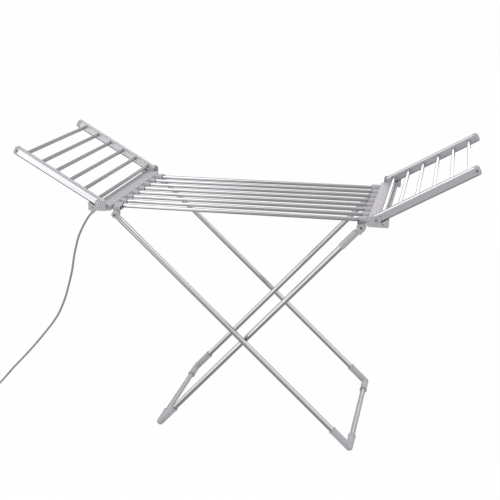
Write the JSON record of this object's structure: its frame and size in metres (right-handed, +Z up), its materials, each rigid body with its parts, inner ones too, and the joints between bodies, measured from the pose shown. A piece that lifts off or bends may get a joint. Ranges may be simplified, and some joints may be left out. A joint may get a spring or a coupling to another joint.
{
  "type": "heated clothes airer",
  "caption": "Folding heated clothes airer with heated bars, two hinged wings, crossed tube legs that fold flat and a mains lead.",
  "frame": {"origin": "on the floor, under the middle of the heated centre frame", "axes": "+X along the centre bars, towards the wing opposite the mains lead; +Y across the bars, away from the side with the lead; +Z up"},
  "size_m": [1.8514, 0.566, 0.9632],
  "materials": {
    "aluminium": "satin extruded tube",
    "steel": "plain bright",
    "plastic": "fine satin moulding, light grey",
    "lead": "smooth grey PVC sheath",
    "plug": "smooth grey moulding"
  },
  "bodies": {
    "centre_frame": {"left_beam": "plastic", "right_beam": "plastic", "centre_bar_1": "aluminium", "centre_bar_2": "aluminium", "centre_bar_3": "aluminium", "centre_bar_4": "aluminium", "centre_bar_5": "aluminium", "centre_bar_6": "aluminium", "centre_bar_7": "aluminium", "centre_bar_8": "aluminium", "left_front_hinge_housing": "plastic", "left_rear_hinge_housing": "plastic", "right_front_hinge_housing": "plastic", "right_rear_hinge_housing": "plastic", "left_front_hinge_pin": "steel", "left_rear_hinge_pin": "steel", "right_front_hinge_pin": "steel", "right_rear_hinge_pin": "steel", "left_front_leg_hanger": "plastic", "left_rear_leg_hanger": "plastic", "right_front_leg_hanger": "plastic", "right_rear_leg_hanger": "plastic", "cord_gland": "plastic", "mains_lead": "lead", "mains_lead_coil": "lead", "mains_plug": "plug"},
    "left_wing": {"left_wing_front_rail": "aluminium", "left_wing_front_cap": "plastic", "left_wing_rear_rail": "aluminium", "left_wing_rear_cap": "plastic", "left_wing_bar_1": "aluminium", "left_wing_bar_2": "aluminium", "left_wing_bar_3": "aluminium", "left_wing_bar_4": "aluminium", "left_wing_bar_5": "aluminium", "left_wing_bar_6": "aluminium"},
    "right_wing": {"right_wing_front_rail": "aluminium", "right_wing_front_cap": "plastic", "right_wing_rear_rail": "aluminium", "right_wing_rear_cap": "plastic", "right_wing_bar_1": "aluminium", "right_wing_bar_2": "aluminium", "right_wing_bar_3": "aluminium", "right_wing_bar_4": "aluminium", "right_wing_bar_5": "aluminium", "right_wing_bar_6": "aluminium"},
    "outer_legs": {"outer_leg_front_head": "plastic", "outer_leg_front_tube": "aluminium", "outer_leg_front_elbow": "plastic", "outer_leg_rear_head": "plastic", "outer_leg_rear_tube": "aluminium", "outer_leg_rear_elbow": "plastic", "outer_leg_foot_tube": "aluminium"},
    "inner_legs": {"inner_leg_front_head": "plastic", "inner_leg_front_tube": "aluminium", "inner_leg_front_elbow": "plastic", "inner_leg_rear_head": "plastic", "inner_leg_rear_tube": "aluminium", "inner_leg_rear_elbow": "plastic", "inner_leg_foot_tube": "aluminium"}
  },
  "joints": [
    {"name": "left_wing_hinge", "type": "hinge", "parent": "centre_frame", "child": "left_wing", "pos_m": [-0.44, 0, 0.788], "axis": [0, 1, 0], "range_deg": [0, 150]},
    {"name": "right_wing_hinge", "type": "hinge", "parent": "centre_frame", "child": "right_wing", "pos_m": [0.44, 0, 0.788], "axis": [0, -1, 0], "range_deg": [0, 150]},
    {"name": "legs_fold", "type": "hinge", "parent": "centre_frame", "child": "outer_legs", "pos_m": [-0.393, 0, 0.7505], "axis": [0, -1, 0], "range_deg": [0, 40.58]},
    {"name": "inner_legs_cross", "type": "hinge", "parent": "outer_legs", "child": "inner_legs", "pos_m": [0.03141, 0, 0.34658], "axis": [0, 1, 0], "range_deg": [0, 88.85]}
  ],
  "couplings": [
    {"joint": "inner_legs_cross", "follows": "legs_fold", "ratio": 2.1868}
  ]
}
